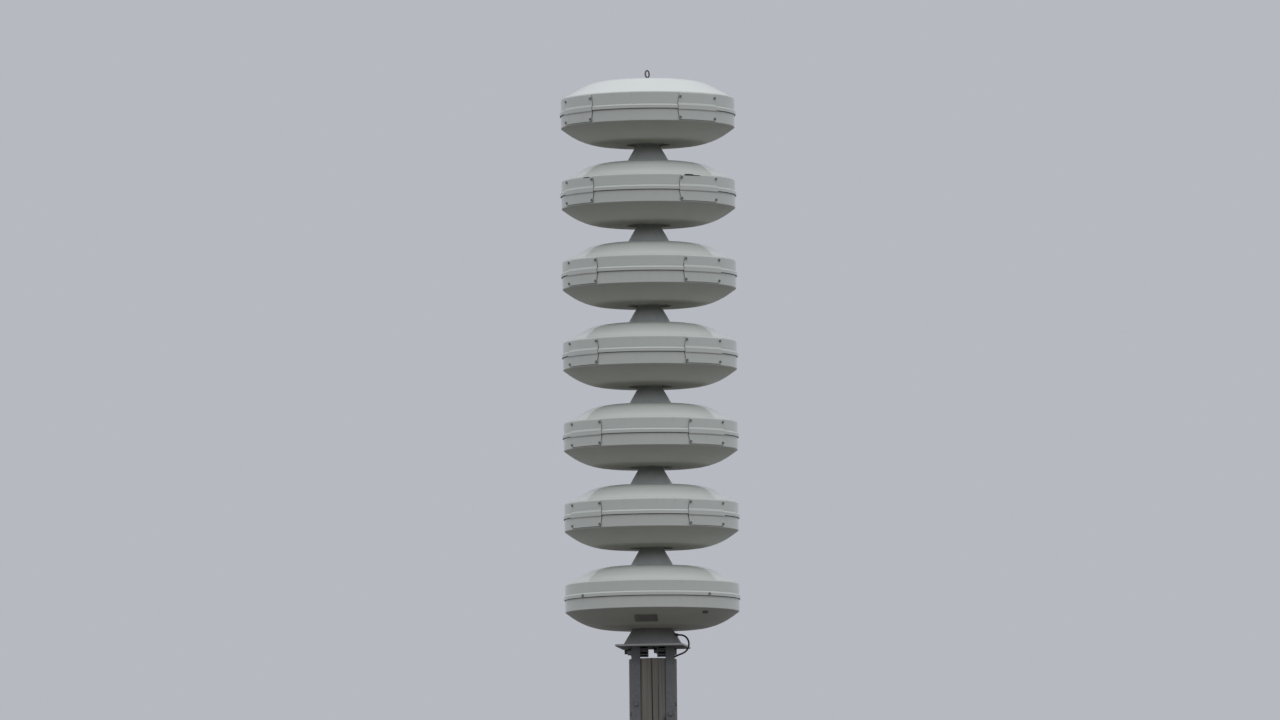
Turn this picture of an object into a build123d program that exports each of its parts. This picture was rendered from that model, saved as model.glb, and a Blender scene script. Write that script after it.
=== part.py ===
"""Civil defence siren tower: seven stacked saucer cells on a bracket on top of a round wooden pole.

The origin is the centre of the pole's foot at ground level. +Z runs up the pole and -Y faces the viewer.
Sizes are in millimetres, and angles are in degrees.
"""

import os
from math import asin, cos, degrees, radians, sin, sqrt, tan

from build123d import *

# Pole: a round log that tapers from the ground to the foot of the legs, and is dressed straight above it
pole_height = 7600
pole_top_diameter = 239
pole_foot_diameter = 311
pole_edge_chamfer = 3

# Bracket: four angle legs hug the pole's head, and two channels between them carry a square plate
leg_width = 44.45
leg_thickness = 6.35
leg_overlap = 850  # the length of a leg that lies against the pole
channel_width = 80
channel_height = 42
channel_web = 5
channel_flange = 5
channel_lift = 16.5  # air between the pole's top and the channels
plate_side = 341
plate_thickness = 10
plate_turn = -6.7  # the plate is turned a little against the legs

# Base cone between the plate and the lowest cell
base_cone_height = 82
base_cone_top_diameter = 202
base_cone_foot_diameter = 304
base_cone_wall = 6

# Cell: every height is measured from its seam, the lower edge of the upper shell's lip
driver_cell_count = 6
cell_pitch = 406.4
band_diameter = 874
shell_thickness = 3
band_top = 77
band_bottom = -60.5
ledge_top = 27.5
ledge_bottom = 18
lip_proud = 6.5
crown_top = 164.5
crown_slope = 29
crown_bend_radius = 224
bowl_bottom = -146.5
bowl_slope = 36
bowl_bend_radius = 330
top_cell_extra = 6.5  # the top cell's band is this much taller
throat_diameter = 216
throat_depth = 52

# Neck cone in each sound gap
neck_foot_diameter = 222
neck_foot_edge = 4
neck_diameter = 116

# Access covers: four on each driver cell, bent to the band's section
cover_count = 4
cover_angle = 30.6
cover_first_angle = 35.7  # from the viewer's side towards +X
cover_thickness = 3.5
cover_top_margin = 5  # from the cover's edge to the band's edge
cover_bottom_margin = 4.5
cell_turns = [0, 0.5, 2.9, 3, 5.1, 4.5]  # each driver cell against the viewer, from the top down

# Bare plate and small tab on the sloping underside of the lowest cell
blank_plate_width = 114
blank_plate_height = 62
blank_plate_thickness = 3
blank_plate_inset = 76  # from the band
blank_plate_angle = -5
tab_width = 32
tab_height = 14
tab_thickness = 6
tab_inset = 26
tab_angle = 40

# Lifting eye
eye_diameter = 43
eye_wire = 8
eye_turn = 57
eye_shank_diameter = 12
eye_collar_diameter = 26
eye_collar_height = 8
eye_centre_height = 42

# Speaker cable and its two glands
cable_diameter = 9
gland_diameter = 16
gland_length = 15
cable_exit_angle = 69.5
cable_exit_height = 49.5  # above the plate
cable_first_run = 20
pole_gland_length = 30
cable_bend_share = 0.45

seat_clearance = 0.3
"""Gap at curved seats, where two faces would otherwise overlap once they are faceted."""

pole_radius = pole_top_diameter / 2
band_radius = band_diameter / 2
channel_bottom_z = pole_height + channel_lift
plate_bottom_z = channel_bottom_z + channel_height
plate_top_z = plate_bottom_z + plate_thickness
base_seam_z = plate_top_z + base_cone_height - bowl_bottom

# An angle's toe touches the round pole with its inner corner, which sets how far out its heel stands
toe_reach = pole_radius + seat_clearance
leg_heel = (leg_width + leg_thickness + sqrt(2 * toe_reach**2 - (leg_width - leg_thickness) ** 2)) / 2


def turned(*edges):
    """A full turn of an outline drawn as (radius, height)."""
    return revolve(Plane.XZ * make_face(edges), axis=Axis.Z)


def outline(corners):
    """A closed outline with a bend at each (radius, height, bend) corner."""
    points = [(r, z) for r, z, _ in corners]
    bends = [bend for _, _, bend in corners]
    return FilletPolyline(*points, radius=bends, close=True)


def seam_z(cell):
    """The height of a cell's seam, with cell 0 the base cell and the driver cells above it."""
    return base_seam_z + cell * cell_pitch


def make_pole():
    dressed_z = pole_height - leg_overlap
    corners = [
        (0, 0, 0),
        (pole_foot_diameter / 2, 0, 0),
        (pole_radius, dressed_z, 0),
        (pole_radius, pole_height - pole_edge_chamfer, 0),
        (pole_radius - pole_edge_chamfer, pole_height, 0),
        (0, pole_height, 0),
    ]
    return turned(*outline(corners).edges())


def make_leg(quadrant):
    """An angle with its heel outwards, from the plate down to the end of the pole's dressed head."""
    inner = leg_heel - leg_thickness
    toe = leg_heel - leg_width
    section = Polyline(
        (leg_heel, leg_heel),
        (leg_heel, toe),
        (inner, toe),
        (inner, inner),
        (toe, inner),
        (toe, leg_heel),
        close=True,
    )
    length = plate_bottom_z - (pole_height - leg_overlap)
    leg = extrude(make_face(section), length)
    return Rot(0, 0, 90 * quadrant) * Pos(0, 0, plate_bottom_z - length) * leg


def make_channel(side):
    """A channel lying front to back with its web down, seated against the inner faces of its two legs."""
    outer = leg_heel - leg_thickness
    inner = outer - channel_width
    web_top = channel_bottom_z + channel_web
    section = Polyline(
        (inner, channel_bottom_z),
        (outer, channel_bottom_z),
        (outer, plate_bottom_z),
        (outer - channel_flange, plate_bottom_z),
        (outer - channel_flange, web_top),
        (inner + channel_flange, web_top),
        (inner + channel_flange, plate_bottom_z),
        (inner, plate_bottom_z),
        close=True,
    )
    half = outer - seat_clearance
    channel = extrude(Plane.XZ.offset(-half) * make_face(section), 2 * half)
    return Rot(0, 0, 0 if side > 0 else 180) * channel


def make_plate():
    blank = Box(plate_side, plate_side, plate_thickness, align=(Align.CENTER, Align.CENTER, Align.MIN))
    return Rot(0, 0, plate_turn) * Pos(0, 0, plate_bottom_z) * blank


def make_base_cone():
    top_z = plate_top_z + base_cone_height
    top = base_cone_top_diameter / 2
    foot = base_cone_foot_diameter / 2
    section = Polyline(
        (foot, plate_top_z),
        (top, top_z),
        (top - base_cone_wall, top_z),
        (foot - base_cone_wall, plate_top_z),
        close=True,
    )
    return turned(*section.edges())


def rim_and_knuckle(inset, edge, end, slope):
    """Corners of a dished end: at the band, and where its cone meets its flat.

    Heights are taken away from the seam, and inset moves the outline inwards by the sheet's thickness.
    """
    rim_z = edge + inset * tan(radians(slope)) - inset / cos(radians(slope))
    rim = (band_radius - inset, rim_z)
    knuckle = (band_radius - inset - (end - inset - rim_z) / tan(radians(slope)), end - inset)
    return rim, knuckle


def make_upper_shell(extra):
    """Crown, band, ledge and lip of one cell, in a sheet that laps over the lower shell's rim."""
    edge = band_top + extra
    end = crown_top + extra
    rim, knuckle = rim_and_knuckle(0, edge, end, crown_slope)
    inner_rim, inner_knuckle = rim_and_knuckle(shell_thickness, edge, end, crown_slope)
    inner_bend = crown_bend_radius - shell_thickness
    inner_radius = band_radius - shell_thickness
    corners = [
        (0, knuckle[1], 0),
        (knuckle[0], knuckle[1], crown_bend_radius),
        (rim[0], rim[1], 0),
        (band_radius, ledge_top, 0),
        (band_radius + lip_proud, ledge_bottom, 0),
        (band_radius + lip_proud, 0, 0),
        (band_radius + seat_clearance, 0, 0),
        (band_radius + seat_clearance, ledge_bottom, 0),
        (inner_radius, ledge_bottom, 0),
        (inner_rim[0], inner_rim[1], 0),
        (inner_knuckle[0], inner_knuckle[1], inner_bend),
        (0, inner_knuckle[1], 0),
    ]
    return turned(*outline(corners).edges())


def make_lower_shell(has_throat):
    """Band and bowl of one cell, with the round throat that opens downwards in a driver cell."""
    rim, knuckle = rim_and_knuckle(0, -band_bottom, -bowl_bottom, bowl_slope)
    inner_rim, inner_knuckle = rim_and_knuckle(shell_thickness, -band_bottom, -bowl_bottom, bowl_slope)
    inner_bend = bowl_bend_radius - shell_thickness
    throat = throat_diameter / 2
    ceiling = bowl_bottom + throat_depth
    middle = [(0, -inner_knuckle[1], 0), (0, bowl_bottom, 0)]
    if has_throat:
        middle = [
            (throat + shell_thickness, bowl_bottom + shell_thickness, 0),
            (throat + shell_thickness, ceiling + shell_thickness, 0),
            (0, ceiling + shell_thickness, 0),
            (0, ceiling, 0),
            (throat, ceiling, 0),
            (throat, bowl_bottom, 0),
        ]
    corners = [
        (band_radius, ledge_bottom, 0),
        (band_radius - shell_thickness, ledge_bottom, 0),
        (inner_rim[0], -inner_rim[1], 0),
        (inner_knuckle[0], -inner_knuckle[1], inner_bend),
        *middle,
        (knuckle[0], -knuckle[1], bowl_bend_radius),
        (rim[0], -rim[1], 0),
    ]
    return turned(*outline(corners).edges())


def make_neck():
    """The cone in a sound gap, from the crown below up to the ceiling of the throat above."""
    foot_z = crown_top - cell_pitch
    corners = [
        (0, foot_z, 0),
        (neck_foot_diameter / 2, foot_z, 0),
        (neck_foot_diameter / 2, foot_z + neck_foot_edge, 0),
        (neck_diameter / 2, bowl_bottom, 0),
        (neck_diameter / 2, bowl_bottom + throat_depth, 0),
        (0, bowl_bottom + throat_depth, 0),
    ]
    return turned(*outline(corners).edges())


def make_covers(extra):
    """The access covers of one driver cell, each bent to the band, the ledge and the lip."""
    inner = band_radius + seat_clearance
    outer = inner + cover_thickness
    under_lip = -seat_clearance
    top = band_top + extra - cover_top_margin
    bottom = band_bottom + cover_bottom_margin
    section = Polyline(
        (inner, top),
        (inner, ledge_top),
        (inner + lip_proud, ledge_bottom),
        (inner + lip_proud, under_lip),
        (inner, under_lip),
        (inner, bottom),
        (outer, bottom),
        (outer, under_lip - cover_thickness),
        (outer + lip_proud, under_lip - cover_thickness),
        (outer + lip_proud, ledge_bottom),
        (outer, ledge_top),
        (outer, top),
        close=True,
    )
    cover = revolve(Plane.XZ * make_face(section), axis=Axis.Z, revolution_arc=cover_angle)
    start = cover_first_angle - 90 - cover_angle / 2
    return [Rot(0, 0, start + index * 360 / cover_count) * cover for index in range(cover_count)]


def bowl_surface(radius):
    """Height from the seam and slope of a bowl's outer side, on its straight slope or its bend."""
    _, knuckle = rim_and_knuckle(0, -band_bottom, -bowl_bottom, bowl_slope)
    flat_radius = knuckle[0] - bowl_bend_radius * tan(radians(bowl_slope / 2))
    run = (radius - flat_radius) / bowl_bend_radius
    if run > sin(radians(bowl_slope)):
        return band_bottom - (band_radius - radius) * tan(radians(bowl_slope)), bowl_slope
    slope = degrees(asin(run))
    return bowl_bottom + bowl_bend_radius * (1 - cos(radians(slope))), slope


def bowl_block(height, width, thickness, inset, angle):
    """A flat block lying on the lowest cell's bowl, at an inset from the band."""
    radius = band_radius - inset
    surface, slope = bowl_surface(radius)
    block = Box(height, width, thickness, align=(Align.CENTER, Align.CENTER, Align.MIN))
    place = Rot(0, 0, angle - 90) * Pos(radius, 0, base_seam_z + surface) * Rot(0, 180 - slope, 0)
    return place * Pos(0, 0, seat_clearance) * block


def make_blank_plate():
    return bowl_block(
        blank_plate_height, blank_plate_width, blank_plate_thickness, blank_plate_inset, blank_plate_angle
    )


def make_tab():
    return bowl_block(tab_height, tab_width, tab_thickness, tab_inset, tab_angle)


def make_lifting_eye():
    """A shouldered eye bolt on the top cell's crown."""
    foot_z = seam_z(driver_cell_count) + crown_top + top_cell_extra
    ring_radius = (eye_diameter - eye_wire) / 2
    ring = Rot(90, 0, 0) * Torus(ring_radius, eye_wire / 2)
    align = (Align.CENTER, Align.CENTER, Align.MIN)
    collar = Cylinder(eye_collar_diameter / 2, eye_collar_height, align=align)
    shank = Cylinder(eye_shank_diameter / 2, eye_centre_height - ring_radius, align=align)
    eye = Pos(0, 0, eye_centre_height) * ring + collar + shank
    return Pos(0, 0, foot_z) * Rot(0, 0, eye_turn) * eye


def cable_exit():
    """Where the cable leaves its gland on the base cone, and the level direction that it takes."""
    share = cable_exit_height / base_cone_height
    radius = (base_cone_foot_diameter * (1 - share) + base_cone_top_diameter * share) / 2 + gland_length
    direction = Vector(sin(radians(cable_exit_angle)), -cos(radians(cable_exit_angle)), 0)
    return direction * radius + Vector(0, 0, plate_top_z + cable_exit_height), direction


def make_cable_route():
    """Corners of the cable's loop, from the base cone round the plate's edge to the pole's top."""
    start, direction = cable_exit()
    return [
        start,
        start + direction * cable_first_run,
        Vector(164.5, -60, pole_height + 109.5),
        Vector(177.5, -62, pole_height + 93),
        Vector(182, -62, pole_height + 72.5),
        Vector(178.5, -59, pole_height + 52),
        Vector(166.5, -53, pole_height + 35),
        Vector(149, -46, pole_height + 25),
        Vector(128, -37, pole_height + 18.5),
        Vector(105, -27, pole_height + 7.5),
    ]


def make_cable():
    route = make_cable_route()
    radii = []
    for before, corner, after in zip(route, route[1:], route[2:]):
        turn = (corner - before).get_angle(after - corner)
        shorter = min((corner - before).length, (after - corner).length)
        radii.append(cable_bend_share * shorter / tan(radians(turn / 2)))
    print("cable bend radii", [round(radius) for radius in radii])
    path = FilletPolyline(*route, radius=radii)
    print("cable length", round(path.length))
    start = Plane(origin=path @ 0, z_dir=path % 0)
    return sweep(start * Circle(cable_diameter / 2), path=path)


def make_cone_gland():
    """A round gland from the sloping wall of the base cone out to the cable."""
    end, direction = cable_exit()
    inner = Plane(origin=end - direction * (gland_length + gland_diameter), z_dir=direction)
    blank = extrude(inner * Circle(gland_diameter / 2), gland_length + gland_diameter)
    top_z = plate_top_z + base_cone_height
    cone_body = Polyline(
        (0, plate_top_z),
        (base_cone_foot_diameter / 2 + seat_clearance, plate_top_z),
        (base_cone_top_diameter / 2 + seat_clearance, top_z),
        (0, top_z),
        close=True,
    )
    return blank - turned(*cone_body.edges())


def make_pole_gland():
    """A slanted gland that leads the cable into the pole's top."""
    route = make_cable_route()
    direction = (route[-1] - route[-2]).normalized()
    mouth = Plane(origin=route[-1], z_dir=direction)
    blank = extrude(mouth * Circle(gland_diameter / 2), pole_gland_length)
    align = (Align.CENTER, Align.CENTER, Align.MAX)
    below = Box(2 * pole_radius, 2 * pole_radius, 2 * pole_gland_length, align=align)
    return blank - Pos(0, 0, pole_height) * below


os.makedirs("parts", exist_ok=True)


def save(name, solids):
    shape = Compound(children=solids) if isinstance(solids, list) else solids
    export_step(shape, f"parts/{name}.step")


save("pole", make_pole())
for quadrant, corner_name in enumerate(["rear_right", "rear_left", "front_left", "front_right"]):
    save(f"leg_{corner_name}", make_leg(quadrant))
save("channel_right", make_channel(1))
save("channel_left", make_channel(-1))
save("mounting_plate", make_plate())
save("base_cone", make_base_cone())
save("cone_gland", make_cone_gland())
save("pole_gland", make_pole_gland())
save("speaker_cable", make_cable())

save("base_cell_upper_shell", Pos(0, 0, seam_z(0)) * make_upper_shell(0))
save("base_cell_lower_shell", Pos(0, 0, seam_z(0)) * make_lower_shell(False))
save("base_cell_blank_plate", make_blank_plate())
save("base_cell_tab", make_tab())

for number in range(1, driver_cell_count + 1):
    extra = top_cell_extra if number == 1 else 0
    place = Pos(0, 0, seam_z(driver_cell_count + 1 - number)) * Rot(0, 0, cell_turns[number - 1])
    save(f"cell_{number}_upper_shell", place * make_upper_shell(extra))
    save(f"cell_{number}_lower_shell", place * make_lower_shell(True))
    save(f"cell_{number}_access_covers", [place * cover for cover in make_covers(extra)])
    save(f"cell_{number}_neck", place * make_neck())
save("lifting_eye", make_lifting_eye())
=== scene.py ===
"""Looks of a civil defence siren tower: seven saucer cells on a bracket on top of a wooden pole.

Everything is in metres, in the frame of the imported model: +Z up, the pole's foot at the origin and the viewer
on the -Y side. Angles round the tower are in degrees from the viewer's side towards +X.
"""

import math
import random

import bmesh
import bpy
from mathutils import Matrix, Vector


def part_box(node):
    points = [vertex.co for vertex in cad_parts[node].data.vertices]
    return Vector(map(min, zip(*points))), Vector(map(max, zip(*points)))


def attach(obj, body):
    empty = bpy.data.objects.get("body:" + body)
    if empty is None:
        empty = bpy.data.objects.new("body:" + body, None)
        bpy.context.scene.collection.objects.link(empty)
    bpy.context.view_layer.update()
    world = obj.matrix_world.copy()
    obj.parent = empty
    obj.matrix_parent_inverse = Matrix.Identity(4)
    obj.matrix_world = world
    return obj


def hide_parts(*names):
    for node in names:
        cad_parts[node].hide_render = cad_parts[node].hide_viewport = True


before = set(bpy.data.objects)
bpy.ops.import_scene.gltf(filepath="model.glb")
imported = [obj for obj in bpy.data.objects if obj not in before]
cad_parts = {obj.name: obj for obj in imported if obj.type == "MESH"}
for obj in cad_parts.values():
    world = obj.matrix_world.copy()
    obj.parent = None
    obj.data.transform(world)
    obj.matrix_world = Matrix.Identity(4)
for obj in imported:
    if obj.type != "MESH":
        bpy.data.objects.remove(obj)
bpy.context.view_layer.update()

# Camera and light
camera_place = (0, -68.70, 3.658)
camera_aim = (-0.0502, 0, 9.106)
camera_lens = 385.8
camera_roll = -0.0097
camera_reach = 4000
background = (0.468, 0.485, 0.529)
sky_tint = (0.95, 0.985, 1.065)
zenith_light = 1.47
horizon_share = 0.185
sideways_light = 0.09
ground_light = 0.07
horizon_height = 0.07
floor_radius = 1500
floor_sides = 64
floor_seen = (0.495, 0.493, 0.497)
floor_unseen = (0.083, 0.076, 0.067)

# Cells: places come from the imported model, and heights are from the seam
seam_heights = [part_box(f"cell_{number}_upper_shell")[0][2] for number in range(1, 7)]
base_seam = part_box("base_cell_upper_shell")[0][2]
cell_turns = [0, 0.5, 2.9, 3, 5.1, 4.5]
band_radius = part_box("base_cell_lower_shell")[1][0]
lip_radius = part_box("base_cell_upper_shell")[1][0]
lip_proud = lip_radius - band_radius
ledge_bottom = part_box("base_cell_lower_shell")[1][2] - base_seam
crown_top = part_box("base_cell_upper_shell")[1][2] - base_seam
bowl_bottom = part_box("base_cell_lower_shell")[0][2] - base_seam
top_cell_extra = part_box("cell_1_upper_shell")[1][2] - seam_heights[0] - crown_top
cell_pitch = seam_heights[0] - seam_heights[1]
band_top = 0.077
band_bottom = -0.0605
ledge_top = 0.0210
lip_top = 0.0155
crown_slope = 29
crown_bend = 0.224
bowl_slope = 36
bowl_bend = 0.330
crown_rim_bend = 0.009
bowl_rim_bend = 0.004
edge_bend = 0.0012
sheet = 0.003
throat_radius = 0.108
throat_depth = 0.052
seat = 0.0003
cell_segments = 144

# Necks
neck_foot_radius = 0.111
neck_radius = 0.058
neck_edge = 0.004

# Access covers and their screws
cover_angle = 30.6
cover_first_angle = 35.7
cover_count = 4
cover_sheet = 0.0035
cover_lip_sheet = 0.0015
cover_ledge_top = 0.0275
cover_ledge_bottom = 0.0165
cover_lip_bottom = -0.0030
cover_flank_top = -0.0095
cover_shares_above = (0.60, 0.80)
cover_shares_below = (0.75, 0.50, 0.30)
cover_segments = 18
cover_pinch_top = 0.007
cover_pinch_bottom = 0.009
cover_top_margin = 0.005
cover_bottom_margin = 0.0045
screw_angle = 13.9
screw_heights = (0.0600, -0.0445)
screw_head = 0.0115
screw_head_height = 0.005
screw_washer = 0.018
screw_washer_height = 0.0014
lip_screw_angles = (-51.4, 40.1)
lip_screw_height = 0.009

# Dark strips in the seams and under the covers: painted shade that deepens the shadows in their gaps
seam_shade_height = 0.0018
seam_shade_proud = 0.0035
shade_strip_sheet = 0.0014
shade_strip_lip_sheet = 0.0006
shade_strip_edge = 0.0013

# Dark strips over two covers of the second cell, painted shade for the gaps where their top edges stand off:
# first angle, step and heights in millimetres
lifted_shade_lap = 0.002
lifted_shade_proud = 0.0005
loose_gaskets = (
    (24.2, 0.75, (1.0, 5.4, 6.2, 5.2, 6.6, 5.8, 6.9, 5.4, 6.4, 3.4, 1.8, 2.2, 1.5, 1.9, 1.2, 1.5, 0.8)),
    (-47.6, 1.0, (1.2, 2.4, 2.8, 2.2, 3.0, 2.4, 1.2)),
)

# Pole, with its columns and rows of points and its drying checks
pole_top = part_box("pole")[1][2]
pole_foot_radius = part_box("pole")[1][0]
pole_top_radius = 0.1195
pole_dressed = 0.850
pole_chamfer = 0.003
pole_columns = 84
pole_rows = 150
wave_count = 10
check_count = 14
check_margin = 0.045
check_order = 0.02
check_lip = 0.0006

# Bracket
leg_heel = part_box("leg_front_right")[1][0]
leg_width = 0.04445
leg_thickness = 0.00635
channel_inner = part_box("channel_right")[0][0]
channel_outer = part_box("channel_right")[1][0]
channel_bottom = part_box("channel_right")[0][2]
plate_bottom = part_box("mounting_plate")[0][2]
plate_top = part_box("mounting_plate")[1][2]
channel_sheet = 0.005
plate_side = 0.341
plate_turn = -6.7
cone_foot_radius = 0.152
cone_top_radius = 0.101
cone_wall = 0.006

# Bolts: heads and nuts are width and height, washers and shanks radius and length
bolt_depth = 0.080
bolt_radius = 0.008
bolt_washer = (0.018, 0.003)
bolt_head = (0.025, 0.009)
outer_nut = (0.025, 0.015)
outer_thread = 0.034
inner_nut = (0.024, 0.013)
inner_thread = 0.017
lag_drops = (0.230, 0.480, 0.730)
lag_stagger = 0.05
lag_washer = (0.013, 0.0022)
lag_head = (0.019, 0.009)
lag_shank = (0.006, 0.045)

# Lifting eye
eye_centre = 0.042
eye_ring = 0.0175
eye_wire = 0.004
eye_turn = 57

# Blank plate and tab on the lowest bowl: width, length, thickness and corner bend
blank_plate_size = (0.114, 0.062, 0.003, 0.005)
blank_plate_inset = 0.076
blank_plate_angle = -5
rivet_places = ((-0.050, -0.024), (-0.050, 0.024), (0.050, -0.024), (0.050, 0.024))
rivet_size = (0.003, 0.0014)
tab_size = (0.032, 0.014, 0.006, 0.003)
tab_inset = 0.026
tab_angle = 40
tab_screw_size = (0.008, 0.004)

# Speaker cable: its route's corners from the base cone to the pole, with heights from the pole's top
cable_diameter = 0.009
cable_corners = (
    (0.12759, -0.04770, 0.118),
    (0.14632, -0.05471, 0.118),
    (0.1645, -0.060, 0.1095),
    (0.1775, -0.062, 0.093),
    (0.182, -0.062, 0.0725),
    (0.1785, -0.059, 0.052),
    (0.1665, -0.053, 0.035),
    (0.149, -0.046, 0.025),
    (0.128, -0.037, 0.0185),
    (0.105, -0.027, 0.0075),
)
cable_route = [(x, y, pole_top + rise) for x, y, rise in cable_corners]


# Outlines and meshes
def rounded(corners, closed=False, step=8):
    """An outline's points from its (x, y, bend) corners, with an arc of a few degrees a step at each bend."""
    points = []
    count = len(corners)
    for index, (x, y, bend) in enumerate(corners):
        corner = Vector((x, y))
        if bend == 0 or (not closed and index in (0, count - 1)):
            points.append(corner)
            continue
        back = Vector(corners[index - 1][:2]) - corner
        ahead = Vector(corners[(index + 1) % count][:2]) - corner
        half = back.angle(ahead) / 2
        reach = min(bend / math.tan(half), 0.95 * back.length, 0.95 * ahead.length)
        radius = reach * math.tan(half)
        middle = corner + (back.normalized() + ahead.normalized()).normalized() * radius / math.sin(half)
        first = corner + back.normalized() * reach - middle
        last = corner + ahead.normalized() * reach - middle
        start = math.atan2(first.y, first.x)
        sweep = (math.atan2(last.y, last.x) - start + math.pi) % (2 * math.pi) - math.pi
        steps = max(2, math.ceil(math.degrees(abs(sweep)) / step))
        for part in range(steps + 1):
            angle = start + sweep * part / steps
            points.append(middle + Vector((math.cos(angle), math.sin(angle))) * radius)
    return points


def rectangle(width, length, bend, step):
    """The outline of a rectangle round the origin."""
    x, y = width / 2, length / 2
    return rounded([(x, y, bend), (-x, y, bend), (-x, -y, bend), (x, -y, bend)], closed=True, step=step)


def lathe(points, segments, first_angle=0, turn=360):
    """A shape turned from (radius, height) points, whose outline ends on the axis or is closed."""
    full = turn == 360
    columns = segments if full else segments + 1
    vertices = []
    rings = []
    for radius, height in points:
        if radius < 1e-6:
            rings.append([len(vertices)] * columns)
            vertices.append((0, 0, height))
            continue
        rings.append(list(range(len(vertices), len(vertices) + columns)))
        for column in range(columns):
            angle = math.radians(first_angle + turn * column / segments)
            vertices.append((radius * math.sin(angle), -radius * math.cos(angle), height))
    pairs = list(zip(rings, rings[1:]))
    if rings[0][0] != rings[0][-1] or not full:
        pairs.append((rings[-1], rings[0]))
    faces = []
    for lower, upper in pairs:
        for column in range(segments):
            following = (column + 1) % columns
            face = [lower[column], lower[following], upper[following], upper[column]]
            face = list(dict.fromkeys(face))
            if len(face) > 2:
                faces.append(face)
    if not full:
        faces.append([ring[0] for ring in rings])
        faces.append([ring[-1] for ring in rings])
    return vertices, faces


def prism(points, bottom, top):
    """A shape with a closed outline of (x, y) points, from one height up to another."""
    count = len(points)
    vertices = [(x, y, height) for height in (bottom, top) for x, y in points]
    faces = [list(range(count)), list(range(count, 2 * count))]
    for index in range(count):
        following = (index + 1) % count
        faces.append([index, following, count + following, count + index])
    return vertices, faces


def ring_of_wire(ring_radius, wire_radius, ring_segments, wire_segments):
    """A torus standing in the XZ plane."""
    vertices = []
    faces = []
    for i in range(ring_segments):
        ring_angle = 2 * math.pi * i / ring_segments
        own = i * wire_segments
        other = (i + 1) % ring_segments * wire_segments
        for j in range(wire_segments):
            wire_angle = 2 * math.pi * j / wire_segments
            radius = ring_radius + wire_radius * math.cos(wire_angle)
            vertices.append((
                radius * math.cos(ring_angle),
                wire_radius * math.sin(wire_angle),
                radius * math.sin(ring_angle),
            ))
            next_j = (j + 1) % wire_segments
            faces.append([own + j, own + next_j, other + next_j, other + j])
    return vertices, faces


def joined(shapes):
    """One shape out of (shape, placement) pairs."""
    vertices = []
    faces = []
    for (own_vertices, own_faces), place in shapes:
        first = len(vertices)
        vertices += [place @ Vector(vertex) for vertex in own_vertices]
        faces += [[first + index for index in face] for face in own_faces]
    return vertices, faces


def placed(shapes, place):
    """(shape, placement) pairs moved together."""
    return [(shape, place @ own) for shape, own in shapes]


def moved(x, y, z):
    return Matrix.Translation((x, y, z))


def turned(degrees, axis="Z"):
    return Matrix.Rotation(math.radians(degrees), 4, axis)


def outward(angle, radius, height):
    """A placement whose +Z points out of the tower's side."""
    turn = math.radians(angle)
    return moved(radius * math.sin(turn), -radius * math.cos(turn), height) @ turned(angle) @ turned(90, "X")


def along(start, direction):
    """A placement at a point whose +Z points along a direction."""
    return Matrix.Translation(start) @ Vector(direction).to_track_quat("Z", "X").to_matrix().to_4x4()


def hex_head(width, height):
    """A hexagon head with a chamfered top, on the origin."""
    corner = width / math.sqrt(3)
    return lathe([(0, 0), (corner, 0), (corner, height * 0.78), (corner * 0.84, height), (0, height)], 6)


def disc(radius, height, segments=24):
    """A washer, a shank or a rivet's head, on the origin."""
    edge = min(radius, height) * 0.3
    outline = [(0, 0, 0), (radius, 0, 0), (radius, height, edge), (0, height, 0)]
    return lathe(rounded(outline, step=30), segments)


def threaded_rod(radius, length, pitch=0.002):
    """A bolt's thread as rings, on the origin."""
    root = radius - pitch * 0.6
    points = [(0, 0)]
    for index in range(int(length / pitch)):
        points += [(root, index * pitch), (radius, (index + 0.5) * pitch)]
    points += [(root, length), (0, length)]
    return lathe(points, 20)


def add_piece(name, shape, material, place=Matrix(), replaced=(), bevel=0, sharp=34):
    """A named piece of the tower that rides on its one body."""
    mesh = bpy.data.meshes.new(name)
    vertices, faces = shape
    mesh.from_pydata(vertices, [], faces)
    shell = bmesh.new()
    shell.from_mesh(mesh)
    bmesh.ops.recalc_face_normals(shell, faces=shell.faces)
    shell.to_mesh(mesh)
    shell.free()
    mesh.shade_smooth()
    mesh.set_sharp_from_angle(angle=math.radians(sharp))
    mesh.materials.append(material)
    piece = bpy.data.objects.new(name, mesh)
    bpy.context.scene.collection.objects.link(piece)
    piece.matrix_world = place
    if bevel:
        edge = piece.modifiers.new("Edges", "BEVEL")
        edge.width = bevel
        edge.segments = 2
        edge.limit_method = "ANGLE"
        edge.angle_limit = math.radians(40)
    weighted = piece.modifiers.new("Normals", "WEIGHTED_NORMAL")
    weighted.keep_sharp = True
    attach(piece, "root")
    if replaced:
        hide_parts(*replaced)
    return piece


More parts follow.
